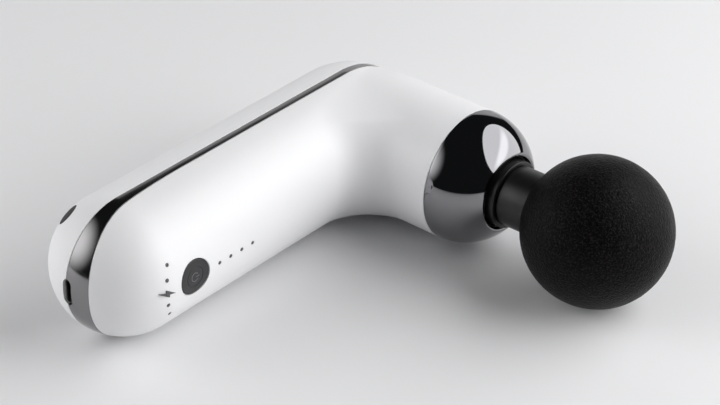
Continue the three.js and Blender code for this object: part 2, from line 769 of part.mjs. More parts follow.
for (const [place, side] of [["upper", 1], ["lower", -1]]) {
  const cell = add(`battery_cell_${place}`, batteryCell(), "cell_wrap");
  cell.position.set(CELL_X, CELL_TOP_Y - CELL_LENGTH / 2, side * CELL_Z);
}
add("cell_holder", cellHolder(), "black_plastic");
add("nickel_strip_top", nickelStrip(1), "nickel").position.y = CELL_TOP_Y + GAP;
const bottomStripY = CELL_TOP_Y - CELL_LENGTH - 2 * GAP;
add("nickel_strip_bottom", nickelStrip(-1), "nickel").position.y = bottomStripY;
add("main_board", mainBoard(), "board");
for (const [place, side] of [["upper", 1], ["lower", -1]]) {
  add(`board_screw_${place}`, boardScrew(side), "steel");
}
add("tact_switch", tactSwitch(), "black_plastic");
add("switch_plunger", crossRod(1.7, BUTTON_Y, 0, 16.9, 18.3), "black_plastic");
add("motor_driver_chip", block([12.5, -88, -3.5], [13.7, -81, 3.5]), "black_plastic");
add("charge_chip", block([12.6, -101, -2.5], [13.7, -96, 2.5]), "black_plastic");
add("smoothing_capacitor", rod(3, -77, -68, 16), "nickel").position.x = 10.4;
add("usb_c_shell", usbShell(), "nickel");
add("usb_c_insert", usbInsert(), "black_plastic");
add("usb_board", usbBoard(), "board");
for (const index of [0, 1, 2]) {
  const z = (index - 1) * 3;
  const route = motorLeadRoute.map(([x, y]) => [x, y, z]);
  add(`motor_lead_${index + 1}`, tubeAlong(route, 0.65, 9), "dark_wire");
}
add("battery_lead_positive", tubeAlong(batteryLeadRoute(1), 0.65, 7), "red_wire");
add("battery_lead_negative", tubeAlong(batteryLeadRoute(-1), 0.65, 7), "dark_wire");

// Lay the gun down: handle and ball touch the floor, and the box stands on the origin.
gun.rotation.y = -TILT;
const massageGun = new THREE.Group();
massageGun.add(gun);
massageGun.updateMatrixWorld(true);
const box = new THREE.Box3().setFromObject(massageGun, true);
const middle = box.getCenter(new THREE.Vector3());
gun.position.set(-middle.x, -middle.y, -box.min.z);

export default massageGun;
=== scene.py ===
import json
import math
from contextlib import contextmanager

import bmesh
import bpy
import numpy as np
from mathutils import Matrix, Vector, noise


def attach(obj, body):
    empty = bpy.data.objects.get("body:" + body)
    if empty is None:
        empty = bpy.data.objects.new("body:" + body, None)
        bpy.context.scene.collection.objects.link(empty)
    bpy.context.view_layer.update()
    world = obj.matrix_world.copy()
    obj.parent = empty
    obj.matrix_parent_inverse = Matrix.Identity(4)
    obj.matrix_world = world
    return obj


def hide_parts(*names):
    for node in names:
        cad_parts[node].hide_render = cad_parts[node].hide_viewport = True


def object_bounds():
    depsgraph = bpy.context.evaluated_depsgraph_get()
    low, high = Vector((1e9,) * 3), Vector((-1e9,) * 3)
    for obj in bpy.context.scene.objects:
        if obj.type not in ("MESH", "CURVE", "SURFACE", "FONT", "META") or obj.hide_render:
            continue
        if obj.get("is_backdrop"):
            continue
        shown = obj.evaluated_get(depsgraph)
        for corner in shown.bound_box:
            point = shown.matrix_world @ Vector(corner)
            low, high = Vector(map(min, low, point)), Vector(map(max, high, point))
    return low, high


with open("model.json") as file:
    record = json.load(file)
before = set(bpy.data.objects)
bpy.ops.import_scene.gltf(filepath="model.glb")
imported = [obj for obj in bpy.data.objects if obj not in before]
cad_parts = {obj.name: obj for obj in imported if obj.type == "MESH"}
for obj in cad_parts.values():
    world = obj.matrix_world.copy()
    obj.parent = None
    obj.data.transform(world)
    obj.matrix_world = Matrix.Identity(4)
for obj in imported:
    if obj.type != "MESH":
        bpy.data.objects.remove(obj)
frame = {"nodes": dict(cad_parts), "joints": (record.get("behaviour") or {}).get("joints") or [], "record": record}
cad_low, cad_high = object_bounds()

# ------------------------------------------------------------------ the gun's frame
joints = {joint["name"]: joint for joint in frame["joints"]}
ORIGIN = np.array(joints["crank_spin"]["pos_m"])
BARREL_AXIS = np.array(joints["piston_slide"]["axis"])
HANDLE_AXIS = np.array(joints["crank_spin"]["axis"], dtype=float)
UPPER_AXIS = np.cross(BARREL_AXIS, HANDLE_AXIS)
GUN_AXES = np.array([BARREL_AXIS, HANDLE_AXIS, UPPER_AXIS])

# ------------------------------------------------------------------ driving dimensions, mm
HANDLE_R = 23.49
HANDLE_END_Y = -110.88
DOME_Y = -6.0
DOME_RISE = 28.0
BARREL_R = 22.75
BARREL_ROOT_R = 21.5
BARREL_FULL_X = 16.0
BARREL_END_X = 49.3
GUIDE_R = 31.5  # the arc that the casing's rings follow round the corner
FILLET_R = 13.0  # in the corner between the handle and the barrel
FILLET_SIDE_R = 28.0  # what it widens to at the gun's sides
FILLET_SIDE_TURN = 0.45  # the cosine between the two normals where it is that wide
WALL = 2.0

BAND_BACK_X = -1.35
BAND_FRONT_X = 1.55
BAND_FLARE_Y = -80.0
BAND_FLARE = 6.25
BAND_FLARE_POWER = 2.6
BAND_WALL = 1.6
CUT_REACH = 2  # how far a cutter stands out of the handle
SEAM = 0.07  # half of the gap between casing parts
EDGE_R = 0.12  # the casing parts' edge round

COLLAR_REACH = 22.2
COLLAR_LIP_ANGLE = 52.0
COLLAR_MOUTH_R = 12.8
MOUTH_BACK_X = 61  # where the collar's mouth and the neck seal start
SLEEVE_START_X = 44  # the collar's sleeve, inside the barrel
SLEEVE_T = 1.8
STEM_R = 10.35
SHANK_R = 9.2
PISTON_R = 11.6
SOCKET_R = 9.5
SOCKET_FACE_X = 69.2
SOCKET_FLOOR_X = 45.5
GROOVE_BACK_X = 52  # the grip ring's groove in the socket
GROOVE_FRONT_X = 54.4
GROOVE_R = SOCKET_R + 1.1
PISTON_BACK_X = 33
PISTON_HOLLOW_X = 37
PISTON_HOLLOW_R = 7
PIN_X = 26  # the wrist pin, in the piston's two ears
PIN_HOLE_R = 2.3
EAR_R = 5.2
EAR_FRONT_X = 33.2
EAR_SIDES = ((3.4, 6.6), (-6.6, -3.4))
STEM_END_X = 90
BALL_R = 25.0
BALL_X = 102.7
PORE_DEPTH = 0.07  # how far the foam's skin lies inside its ball
PORE_VARIATION = 0.06

BUTTON_Y = -102.4
BUTTON_R = 6.13
BUTTON_HOLE_R = 6.27
BUTTON_FLANGE_R = 7.3
LIGHT_R = 0.65
LIGHT_HOLE_R = LIGHT_R + 0.04
LIGHT_HOLE_FLOOR_X = 19
LIGHT_BAR_TOP_X = 20.2  # where the light pins stand on the bar behind them
BOLT_HOLE_GROW = 1.04
SPEED_LIGHT_TOP_Y = -76.5
SPEED_LIGHT_PITCH = 5.03
BATTERY_LIGHT_Y = -114.1
BATTERY_OUTER_Y = -112.6
BATTERY_LIGHT_STEP = math.radians(11.4)
BOLT_Y = -114.5

PORT_X = -0.9
PORT_WIDTH = 8.8
PORT_HEIGHT = 3.2
PORT_FACE_Y = -133.3
PORT_DEPTH = 6.8
PORT_HOLE_GAP = 0.27
PORT_HOLE_YS = (-138.0, -128.0)
PLUG_PLACE = (-14.8, -119.7, 16.1)
PLUG_R = 3.9
PLUG_T = 1.1


def place(points):
    """Gun-frame millimetres to row-frame metres."""
    return ORIGIN + np.asarray(points, dtype=float) @ GUN_AXES / 1000


def turned_to_row(vectors):
    return np.asarray(vectors, dtype=float) @ GUN_AXES


# ------------------------------------------------------------------ mesh helpers
def in_scene(name, data):
    """A new object in the scene around a mesh, a camera or a light."""
    made = bpy.data.objects.new(name, data)
    bpy.context.scene.collection.objects.link(made)
    return made


def new_piece(name, points, faces):
    mesh = bpy.data.meshes.new(name)
    mesh.from_pydata(place(points).tolist(), [], [list(face) for face in faces])
    mesh.validate()
    piece = in_scene(name, mesh)
    smooth(piece)
    return piece


def smooth(piece, sharp_degrees=38):
    mesh = piece.data
    mesh.polygons.foreach_set("use_smooth", [True] * len(mesh.polygons))
    mesh.set_sharp_from_angle(angle=math.radians(sharp_degrees))
    mesh.update()


@contextmanager
def edited(piece):
    """The piece's mesh, to edit and put back."""
    bm = bmesh.new()
    bm.from_mesh(piece.data)
    yield bm
    bm.to_mesh(piece.data)
    bm.free()


def outward(piece):
    with edited(piece) as bm:
        bmesh.ops.recalc_face_normals(bm, faces=bm.faces)
    smooth(piece)
    return piece


STRAIGHT_DEGREES = 22  # a corner that turns less than this stays as it is


def softened(profile, radius, steps=4, closed=True):
    """The polyline with each sharp corner rounded off."""
    points = [np.array(p, dtype=float) for p in profile]
    result = []
    count = len(points)
    for i, corner in enumerate(points):
        if not closed and i in (0, count - 1):
            result.append(corner)
            continue
        before, after = points[i - 1], points[(i + 1) % count]
        back, on = before - corner, after - corner
        back_length, on_length = np.linalg.norm(back), np.linalg.norm(on)
        straight = -back @ on / (back_length * on_length)
        if straight > math.cos(math.radians(STRAIGHT_DEGREES)):
            result.append(corner)
            continue
        reach = min(radius, 0.45 * back_length, 0.45 * on_length)
        start = corner + back / back_length * reach
        end = corner + on / on_length * reach
        for t in np.linspace(0, 1, steps + 1):
            result.append((1 - t) ** 2 * start + 2 * t * (1 - t) * corner + t * t * end)
    return result


def lathe_mesh(profile, segments, closed):
    """Rings of [radius, distance] pairs about X. Radius 0 makes a single point."""
    points, rings, faces = [], [], []
    for radius, along in profile:
        if radius < 1e-6:
            rings.append([len(points)] * segments)
            points.append((along, 0, 0))
            continue
        first = len(points)
        for i in range(segments):
            angle = 2 * math.pi * i / segments
            points.append((along, radius * math.cos(angle), radius * math.sin(angle)))
        rings.append(list(range(first, first + segments)))
    pairs = list(zip(rings, rings[1:]))
    if closed:
        pairs.append((rings[-1], rings[0]))
    for ring, following in pairs:
        for i in range(segments):
            j = (i + 1) % segments
            corners = [ring[i], ring[j], following[j], following[i]]
            face = [c for k, c in enumerate(corners) if c not in corners[:k]]
            if len(face) > 2:
                faces.append(face)
    return np.array(points), faces


def lathe(name, profile, segments=96, closed=True, turn=None, shift=(0, 0, 0)):
    """A turned piece about X, or about the direction that turn's first column gives."""
    points, faces = lathe_mesh(profile, segments, closed)
    if turn is not None:
        points = points @ np.asarray(turn).T
    return outward(new_piece(name, points + np.asarray(shift), faces))


def turn_to(direction):
    """A rotation whose first column is the direction, as an array."""
    quaternion = Vector((1, 0, 0)).rotation_difference(Vector(direction))
    return np.array(quaternion.to_matrix())


def loft(name, loops, caps=True):
    """Quads between loops of equal length, closed by a fan at each end."""
    count = len(loops[0])
    points = [p for loop in loops for p in loop]
    faces = []
    for k in range(len(loops) - 1):
        for i in range(count):
            j = (i + 1) % count
            faces.append((k * count + i, k * count + j, (k + 1) * count + j, (k + 1) * count + i))
    if caps:
        for k in (0, len(loops) - 1):
            centre = len(points)
            points.append(np.mean(loops[k], axis=0))
            faces += [(k * count + i, k * count + (i + 1) % count, centre) for i in range(count)]
    return outward(new_piece(name, points, faces))


def welded(piece):
    """The piece with the loops that meet made one."""
    with edited(piece) as bm:
        bmesh.ops.remove_doubles(bm, verts=bm.verts, dist=1e-7)
    return outward(piece)


def joined(name, pieces):
    """One object from several."""
    bm = bmesh.new()
    for piece in pieces:
        bm.from_mesh(piece.data)
        bpy.data.objects.remove(piece)
    mesh = bpy.data.meshes.new(name)
    bm.to_mesh(mesh)
    bm.free()
    result = in_scene(name, mesh)
    smooth(result)
    return result


def cut_with(piece, cutter):
    modifier = piece.modifiers.new("cut", "BOOLEAN")
    modifier.operation = "DIFFERENCE"
    modifier.solver = "EXACT"
    modifier.object = cutter
    bpy.context.view_layer.update()
    evaluated = piece.evaluated_get(bpy.context.evaluated_depsgraph_get())
    mesh = bpy.data.meshes.new_from_object(evaluated)
    piece.modifiers.clear()
    piece.data = mesh
    smooth(piece)
    bpy.data.objects.remove(cutter)


def box_mesh(name, low, high, bevel=0.2):
    low, high = np.array(low, dtype=float), np.array(high, dtype=float)
    bm = bmesh.new()
    bmesh.ops.create_cube(bm, size=1)
    for vertex in bm.verts:
        corner = (low + high) / 2 + np.array(vertex.co) * (high - low)
        vertex.co = Vector(place(corner))
    bmesh.ops.bevel(
        bm, geom=bm.edges[:], offset=bevel / 1000, segments=2, profile=0.5, affect="EDGES"
    )
    mesh = bpy.data.meshes.new(name)
    bm.to_mesh(mesh)
    bm.free()
    return outward(in_scene(name, mesh))


# ------------------------------------------------------------------ the casing's form
def filleted(first, first_n, second, second_n):
    """The union of two forms, with a ball rolled along their inner corner."""
    turn = (first_n * second_n).sum(axis=0)
    wider = np.clip(turn / FILLET_SIDE_TURN, 0, 1) ** 2
    radius = FILLET_R + (FILLET_SIDE_R - FILLET_R) * wider
    spare = 1 - turn * turn + 1e-5
    first_share = (radius - first - turn * (radius - second)) / spare
    second_share = (radius - second - turn * (radius - first)) / spare
    rolled = (first_share > 0) & (second_share > 0)
    reach = first_share**2 + second_share**2 + 2 * turn * first_share * second_share
    return np.where(rolled, radius - np.sqrt(np.abs(reach)), np.minimum(first, second))


def body_field(points):
    """Below zero inside the casing's outer form, and about the distance in mm close to it."""
    x, y, z = np.asarray(points, dtype=float).T
    low = np.minimum(y - HANDLE_END_Y, 0)
    squash = HANDLE_R / DOME_RISE
    high = np.maximum(y - DOME_Y, 0) * squash
    reach = np.sqrt(x * x + z * z + low * low + high * high) + 1e-9
    handle = reach - HANDLE_R
    handle_n = np.array([x, low + high * squash, z])
    handle_n /= np.linalg.norm(handle_n, axis=0) + 1e-9

    behind = np.minimum(x, 0)
    swell = np.sin(np.clip(x / BARREL_FULL_X, 0, 1) * math.pi / 2)
    off_axis = np.sqrt(y * y + z * z + behind * behind) + 1e-9
    barrel = off_axis - (BARREL_ROOT_R + (BARREL_R - BARREL_ROOT_R) * swell)
    return filleted(handle, handle_n, barrel, np.array([behind, y, z]) / off_axis)


def body_normals(points):
    points = np.asarray(points, dtype=float)
    step = 0.05
    slope = np.stack(
        [body_field(points + axis * step) - body_field(points - axis * step) for axis in np.eye(3)],
        axis=1,
    )
    return slope / np.linalg.norm(slope, axis=1, keepdims=True)


def cast(origins, directions, longest=46.0, samples=70):
    """The first place where each ray leaves the form."""
    ts = np.linspace(0, longest, samples)
    values = np.stack([body_field(origins + directions * t) for t in ts])
    first = np.argmax(values > 0, axis=0)
    low, high = ts[np.maximum(first - 1, 0)], ts[first]
    for _ in range(36):
        middle = (low + high) / 2
        outside = body_field(origins + directions * middle[:, None]) > 0
        high = np.where(outside, middle, high)
        low = np.where(outside, low, middle)
    return origins + directions * high[:, None]


COLUMNS = 96


def casing_rows():
    """Rings from the lower end, up the handle, round a guide arc and along the barrel."""
    turns = (np.arange(COLUMNS) + 0.5) * 2 * math.pi / COLUMNS
    cos, sin = np.cos(turns), np.sin(turns)
    zero = np.zeros(COLUMNS)
    rows = []
    for polar in np.radians(np.linspace(-87, -3, 24)):
        origin = np.array([0, HANDLE_END_Y, 0])
        around = np.stack(
            [math.cos(polar) * cos, zero + math.sin(polar), math.cos(polar) * sin], axis=1
        )
        rows.append((origin, around))
    for y in np.linspace(HANDLE_END_Y, -GUIDE_R, 44):
        rows.append((np.array([0, y, 0]), np.stack([cos, zero, sin], axis=1)))
    for phi in np.radians(np.linspace(0, 90, 62)[1:-1]):
        origin = np.array([GUIDE_R * (1 - math.cos(phi)), GUIDE_R * (math.sin(phi) - 1), 0])
        around = np.stack([cos * math.cos(phi), -cos * math.sin(phi), sin], axis=1)
        rows.append((origin, around))
    for x in np.linspace(GUIDE_R, BARREL_END_X - SEAM - EDGE_R, 12):
        rows.append((np.array([x, 0, 0]), np.stack([zero, -cos, sin], axis=1)))
    return rows


def casing_sheet():
    rows = casing_rows()
    origins = np.concatenate([np.tile(origin, (COLUMNS, 1)) for origin, _ in rows])
    directions = np.concatenate([around for _, around in rows])
    points = cast(origins, directions)
    faces = []
    for k in range(len(rows) - 1):
        for i in range(COLUMNS):
            j = (i + 1) % COLUMNS
            a, b = k * COLUMNS, (k + 1) * COLUMNS
            faces.append((a + i, b + i, b + j, a + j))
    tip = len(points)
    points = np.vstack([points, [[0, HANDLE_END_Y - HANDLE_R, 0]]])
    faces += [(i, (i + 1) % COLUMNS, tip) for i in range(COLUMNS)]
    bm = bmesh.new()
    vertices = [bm.verts.new(p) for p in points]
    for face in faces:
        bm.faces.new([vertices[i] for i in face])
    bm.normal_update()
    bm.faces.ensure_lookup_table()
    probe = bm.faces[len(faces) // 3]
    centre = np.array(probe.calc_center_median())
    if np.dot(body_normals([centre])[0], np.array(probe.normal)) < 0:
        bmesh.ops.reverse_faces(bm, faces=bm.faces)
    return bm


def band_front_x(y):
    tip = HANDLE_END_Y - HANDLE_R
    down = max(0.0, (BAND_FLARE_Y - y) / (BAND_FLARE_Y - tip))
    return BAND_FRONT_X + BAND_FLARE * down**BAND_FLARE_POWER


def band_back_x(_y):
    """Straight, where the front seam flares."""
    return BAND_BACK_X


def trim(bm, edge, side, inset):
    """Keeps what lies on that side of a seam, and stops the inset short of it."""
    for vertex in bm.verts:
        vertex.co.x -= edge(vertex.co.y) + side * inset
    bmesh.ops.bisect_plane(
        bm,
        geom=bm.verts[:] + bm.edges[:] + bm.faces[:],
        dist=1e-5,
        plane_co=(0, 0, 0),
        plane_no=(side, 0, 0),
        clear_inner=True,
    )
    for vertex in bm.verts:
        vertex.co.x += edge(vertex.co.y) + side * inset


def thickened(name, bm, wall=WALL):
    """The sheet as a moulding: rounded edges, a wall and an inner face."""
    bm.verts.ensure_lookup_table()
    bm.verts.index_update()
    outer = np.array([v.co for v in bm.verts])
    for _ in range(2):
        outer -= body_normals(outer) * body_field(outer)[:, None]
    normals = body_normals(outer)
    faces = [[v.index for v in f.verts] for f in bm.faces]
    following = {}
    for edge in bm.edges:
        if len(edge.link_faces) == 1:
            loop = edge.link_loops[0]
            following[loop.vert.index] = loop.link_loop_next.vert.index
    bm.free()
    leading = {b: a for a, b in following.items()}
    rim = list(following)
    position = {vertex: i for i, vertex in enumerate(rim)}
    along = outer[[following[v] for v in rim]] - outer[[leading[v] for v in rim]]
    away = np.cross(along, normals[rim])
    away /= np.linalg.norm(away, axis=1, keepdims=True)
    points = [outer, outer - normals * wall]
    inner_start = len(outer)
    faces += [[inner_start + i for i in reversed(face)] for face in list(faces)]
    rows = [rim]
    total = 2 * len(outer)
    profile = [(math.sin(a), 1 - math.cos(a)) for a in np.radians([22.5, 45, 67.5, 90])]
    profile.append((1, wall / EDGE_R * 0.5))
    profile.append((1, wall / EDGE_R))
    for out, down in profile:
        points.append(outer[rim] + away * EDGE_R * out - normals[rim] * EDGE_R * down)
        rows.append([total + i for i in range(len(rim))])
        total += len(rim)
    rows.append([inner_start + v for v in rim])
    for above, below in zip(rows, rows[1:]):
        for vertex in rim:
            i, j = position[vertex], position[following[vertex]]
            faces.append([above[j], above[i], below[i], below[j]])
    return new_piece(name, np.vstack(points), faces)


ON_SURFACE_MM = 0.02
SAME_FACING = 0.985  # the least agreement of a face with the form's own normal


def polish(piece):
    """Exact normals on the casing's outer surface, whatever was cut into it."""
    mesh = piece.data
    count = len(mesh.vertices)
    shown = np.empty(count * 3)
    mesh.vertices.foreach_get("co", shown)
    gun = (shown.reshape(-1, 3) - ORIGIN) @ GUN_AXES.T * 1000
    on_surface = np.abs(body_field(gun)) < ON_SURFACE_MM
    exact = turned_to_row(body_normals(gun))
    custom = []
    for polygon in mesh.polygons:
        face_n = np.array(polygon.normal)
        for index in polygon.vertices:
            fits = on_surface[index] and face_n @ exact[index] > SAME_FACING
            custom.append(tuple(exact[index]) if fits else (0.0, 0.0, 0.0))
    mesh.normals_split_custom_set(custom)


def on_handle(y, z, depth=0.0):
    radius = HANDLE_R - depth
    return (math.sqrt(max(radius * radius - z * z, 0)), y, z)


def circle_on_handle(y, radius, depth, count=48):
    """A ring of points on the handle's front, seen from the front as a circle."""
    angles = np.arange(count) * 2 * math.pi / count
    return [on_handle(y + radius * math.sin(a), radius * math.cos(a), depth) for a in angles]


def flat_circle(y, radius, x, count=48):
    angles = np.arange(count) * 2 * math.pi / count
    return [(x, y + radius * math.sin(a), radius * math.cos(a)) for a in angles]


def turned_about_handle(points, angle):
    """Turned about the handle's axis, from the front towards the upper side."""
    cos, sin = math.cos(angle), math.sin(angle)
    return [(x * cos - z * sin, y, x * sin + z * cos) for x, y, z in points]


def hole_cutter(name, y, radius, chamfer, floor_x, angle=0.0, count=48):
    loops = [
        flat_circle(y, radius, floor_x, count),
        circle_on_handle(y, radius, chamfer, count),
        circle_on_handle(y, radius + 1.5 * chamfer, -0.5 * chamfer, count),
        flat_circle(y, radius + 1.5 * chamfer, HANDLE_R + CUT_REACH, count),
    ]
    return loft(name, [turned_about_handle(loop, angle) for loop in loops])


def light_hole(y, angle=0.0):
    return hole_cutter("light_hole", y, LIGHT_HOLE_R, 0.04, LIGHT_HOLE_FLOOR_X, angle, 20)


# The lightning sign's corners, from its middle
BOLT = [(1.15, 3.3), (-1.53, -0.6), (-0.5, -0.75), (-1.15, -3.3), (1.53, 0.6), (0.5, 0.75)]
BOLT_ROUND = 0.12


def bolt_outline(grow):
    """The lightning sign's outline as [z, y] pairs, with its corners a little round."""
    corners = [np.array(p) * grow for p in BOLT]
    outline = softened(corners, BOLT_ROUND, steps=3)
    return [(-p[0], BOLT_Y + p[1]) for p in outline]


def bolt_pin(name, grow, floor_x, depth, top_x=None):
    outline = bolt_outline(grow)
    bottom = [(floor_x, y, z) for z, y in outline]
    if top_x is None:
        top = [on_handle(y, z, depth) for z, y in outline]
    else:
        top = [(top_x, y, z) for z, y in outline]
    count = len(outline)
    faces = [(i, (i + 1) % count, count + (i + 1) % count, count + i) for i in range(count)]
    faces += [tuple(range(count)), tuple(range(count, 2 * count))]
    piece = new_piece(name, bottom + top, faces)
    with edited(piece) as bm:
        bmesh.ops.triangulate(bm, faces=[f for f in bm.faces if len(f.verts) > 4])
    return outward(piece)


def speed_light_ys():
    return [SPEED_LIGHT_TOP_Y - i * SPEED_LIGHT_PITCH for i in range(4)]


def battery_light_places():
    """The height and the turn about the handle's axis of each battery light."""
    heights = {1: BATTERY_LIGHT_Y, 2: BATTERY_OUTER_Y}
    return [(heights[abs(i)], i * BATTERY_LIGHT_STEP) for i in (-2, -1, 1, 2)]


def stadium(x, reach, radius, y, steps=10):
    """A flat oval about the port's middle, long way along Z."""
    loop = []
    for end, start in ((1, 0), (-1, math.pi)):
        for i in range(steps + 1):
            angle = start + math.pi * i / steps
            loop.append((x + radius * math.cos(angle), y, end * reach + radius * math.sin(angle)))
    return loop


PORT_REACH = (PORT_WIDTH - PORT_HEIGHT) / 2


def port_cutter(name):
    radius = PORT_HEIGHT / 2 + PORT_HOLE_GAP
    loops = [stadium(PORT_X, PORT_REACH, radius, y) for y in PORT_HOLE_YS]
    return loft(name, loops)


def plug_direction(side):
    x, y, z = PLUG_PLACE
    direction = np.array([x, y - HANDLE_END_Y, side * z])
    return direction / np.linalg.norm(direction)


def plug_cutter(name, side):
    r, hole = HANDLE_R, PLUG_R + 0.06
    profile = [(0, r - 1.4), (hole, r - 1.4), (hole, r - 0.44), (hole + 0.16, r - 0.28)]
    profile += [(hole + 0.16, r + CUT_REACH), (0, r + CUT_REACH)]
    return lathe(
        name,
        profile,
        48,
        closed=False,
        turn=turn_to(plug_direction(side)),
        shift=(0, HANDLE_END_Y, 0),
    )


# ------------------------------------------------------------------ materials
# A Mix node's colour sockets, by number because its other sockets have the same names
MIX_A, MIX_B, MIX_RESULT = 6, 7, 2


def node_of(tree, kind, **settings):
    node = tree.nodes.new(kind)
    for key, value in settings.items():
        setattr(node, key, value)
    return node


def noise_value(tree, scale, detail=4.0, roughness=0.55, stretch=(1, 1, 1), distortion=0.0):
    """A noise that stays with the piece, in features per metre."""
    coordinates = node_of(tree, "ShaderNodeTexCoord")
    mapping = node_of(tree, "ShaderNodeMapping")
    mapping.inputs["Scale"].default_value = stretch
    texture = node_of(tree, "ShaderNodeTexNoise")
    texture.inputs["Scale"].default_value = scale
    texture.inputs["Detail"].default_value = detail
    texture.inputs["Roughness"].default_value = roughness
    texture.inputs["Distortion"].default_value = distortion
    tree.links.new(coordinates.outputs["Object"], mapping.inputs["Vector"])
    tree.links.new(mapping.outputs["Vector"], texture.inputs["Vector"])
    return texture.outputs["Fac"]


def spread(tree, value, low, high, from_low=0.3, from_high=0.7):
    """The value rescaled to run from low to high."""
    node = node_of(tree, "ShaderNodeMapRange")
    node.inputs["From Min"].default_value = from_low
    node.inputs["From Max"].default_value = from_high
    node.inputs["To Min"].default_value = low
    node.inputs["To Max"].default_value = high
    tree.links.new(value, node.inputs["Value"])
    return node.outputs["Result"]


def blended(tree, factor, first, second):
    node = node_of(tree, "ShaderNodeMix", data_type="RGBA")
    tree.links.new(factor, node.inputs["Factor"])
    node.inputs[MIX_A].default_value = (*first, 1)
    node.inputs[MIX_B].default_value = (*second, 1)
    return node.outputs[MIX_RESULT]


def object_texture(tree, kind, scale, **settings):
    """A texture that stays with the piece, in features per metre."""
    coordinates = node_of(tree, "ShaderNodeTexCoord")
    texture = node_of(tree, kind, **settings)
    texture.inputs["Scale"].default_value = scale
    tree.links.new(coordinates.outputs["Object"], texture.inputs["Vector"])
    return texture


def overlaid(tree, shader, factor, color):
    """Turns the shader's base colour into another where the factor says so."""
    mix = node_of(tree, "ShaderNodeMix", data_type="RGBA")
    tree.links.new(factor, mix.inputs["Factor"])
    tree.links.new(shader.inputs["Base Color"].links[0].from_socket, mix.inputs[MIX_A])
    mix.inputs[MIX_B].default_value = (*color, 1)
    tree.links.new(mix.outputs[MIX_RESULT], shader.inputs["Base Color"])


def added_bump(tree, height, distance, strength, before=None):
    node = node_of(tree, "ShaderNodeBump")
    node.inputs["Distance"].default_value = distance
    node.inputs["Strength"].default_value = strength
    tree.links.new(height, node.inputs["Height"])
    if before is not None:
        tree.links.new(before, node.inputs["Normal"])
    return node.outputs["Normal"]


def material(
    name,
    color,
    other_color,
    rough,
    metallic=0.0,
    patch_scale=60.0,
    grain_scale=2500.0,
    grain_height=0.00001,
    grain_strength=0.3,
    stretch=(1, 1, 1),
    scuff=0.04,
    **constants,
):
    """A surface with slow colour variation, uneven roughness, light scuffs and a fine grain."""
    made = bpy.data.materials.new(name)
    made.use_nodes = True
    tree = made.node_tree
    shader = tree.nodes["Principled BSDF"]
    patches = noise_value(tree, patch_scale)
    tree.links.new(blended(tree, patches, color, other_color), shader.inputs["Base Color"])
    scuffs = noise_value(tree, patch_scale * 6, 6.0, 0.7, stretch, 0.4)
    rough_low, rough_high = rough
    uneven = spread(tree, patches, rough_low, rough_high)
    worn = spread(tree, scuffs, 0.0, scuff, 0.55, 0.75)
    total = node_of(tree, "ShaderNodeMath", operation="ADD")
    tree.links.new(uneven, total.inputs[0])
    tree.links.new(worn, total.inputs[1])
    tree.links.new(total.outputs[0], shader.inputs["Roughness"])
    grain = noise_value(tree, grain_scale, 3.0, 0.6, stretch)
    bump = added_bump(tree, grain, grain_height, grain_strength)
    tree.links.new(bump, shader.inputs["Normal"])
    shader.inputs["Metallic"].default_value = metallic
    for socket, value in constants.items():
        shader.inputs[socket.replace("_", " ")].default_value = value
    return made


def foam_material():
    made = material(
        "foam",
        (0.0006, 0.0006, 0.0007),
        (0.0013, 0.0012, 0.0013),
        (0.36, 0.46),
        patch_scale=90,
        grain_scale=1500,
        grain_height=0.0003,
        grain_strength=1.0,
        scuff=0.1,
        Specular_IOR_Level=0.075,
    )
    tree = made.node_tree
    shader = tree.nodes["Principled BSDF"]
    grain_bump = shader.inputs["Normal"].links[0].from_socket
    cells = object_texture(tree, "ShaderNodeTexVoronoi", 1100, feature="F1")
    pitted = added_bump(tree, cells.outputs["Distance"], 0.00012, 0.9, grain_bump)
    tree.links.new(pitted, shader.inputs["Normal"])
    specks = spread(tree, noise_value(tree, 1700, 2.0, 0.6), 0.0, 1.0, 0.48, 0.72)
    overlaid(tree, shader, specks, (0.018, 0.0155, 0.017))
    return made


def board_material():
    made = material(
        "board",
        (0.012, 0.085, 0.032),
        (0.016, 0.11, 0.042),
        (0.3, 0.42),
        patch_scale=150,
        Coat_Weight=0.4,
    )
    tree = made.node_tree
    shader = tree.nodes["Principled BSDF"]
    tracks = object_texture(
        tree, "ShaderNodeTexVoronoi", 420, feature="DISTANCE_TO_EDGE", distance="CHEBYCHEV"
    )
    line = spread(tree, tracks.outputs["Distance"], 1.0, 0.0, 0.03, 0.06)
    overlaid(tree, shader, line, (0.045, 0.2, 0.07))
    return made


def copper_material():
    made = material(
        "copper", (0.55, 0.2, 0.075), (0.7, 0.29, 0.12), (0.22, 0.36), metallic=1.0, patch_scale=300
    )
    tree = made.node_tree
    shader = tree.nodes["Principled BSDF"]
    turns = object_texture(
        tree, "ShaderNodeTexWave", 500, wave_type="BANDS", bands_direction="Y"
    )
    turns.inputs["Distortion"].default_value = 0.6
    wound = added_bump(tree, turns.outputs["Fac"], 0.0003, 0.8)
    tree.links.new(wound, shader.inputs["Normal"])
    return made


